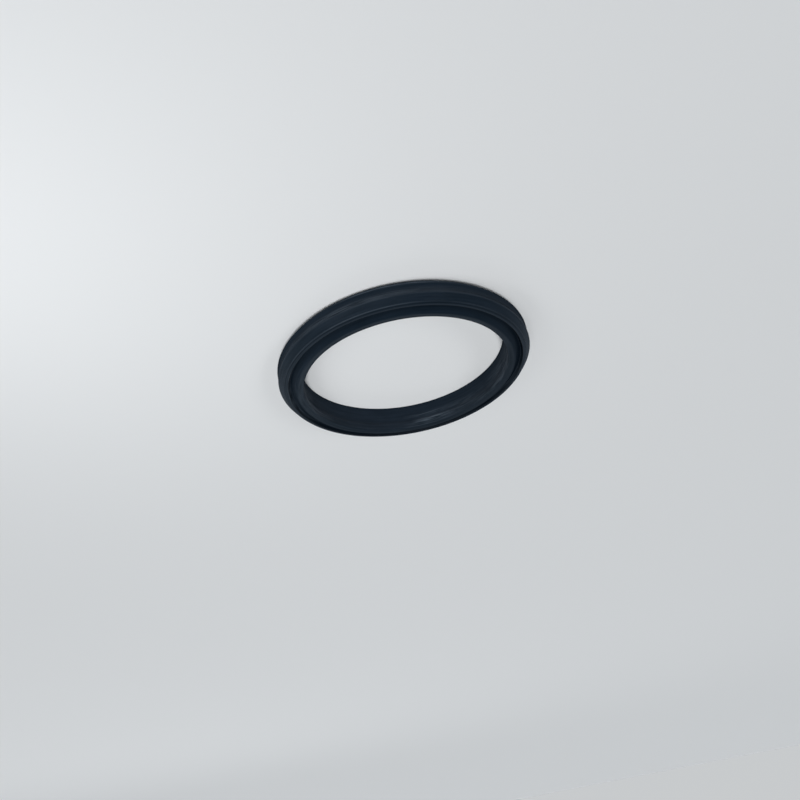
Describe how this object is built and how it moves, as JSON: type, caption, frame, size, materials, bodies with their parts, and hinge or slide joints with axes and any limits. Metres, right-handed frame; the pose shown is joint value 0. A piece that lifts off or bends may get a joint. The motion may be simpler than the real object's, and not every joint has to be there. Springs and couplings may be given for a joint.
{
  "type": "rubber seal ring",
  "caption": "One-piece rubber lip seal ring: a grooved lip face, a bevelled outer lip, a crested bore and a flat chamfered heel.",
  "frame": {"origin": "centre of the ring's axis on the flat heel face", "axes": "+Z along the ring's axis, from the heel face to the grooved lip face"},
  "size_m": [0.055, 0.055, 0.0063],
  "materials": {
    "rubber": "moulded blue-black rubber with a satin sheen"
  },
  "bodies": {
    "root": {"seal_ring": "rubber"}
  },
  "joints": []
}
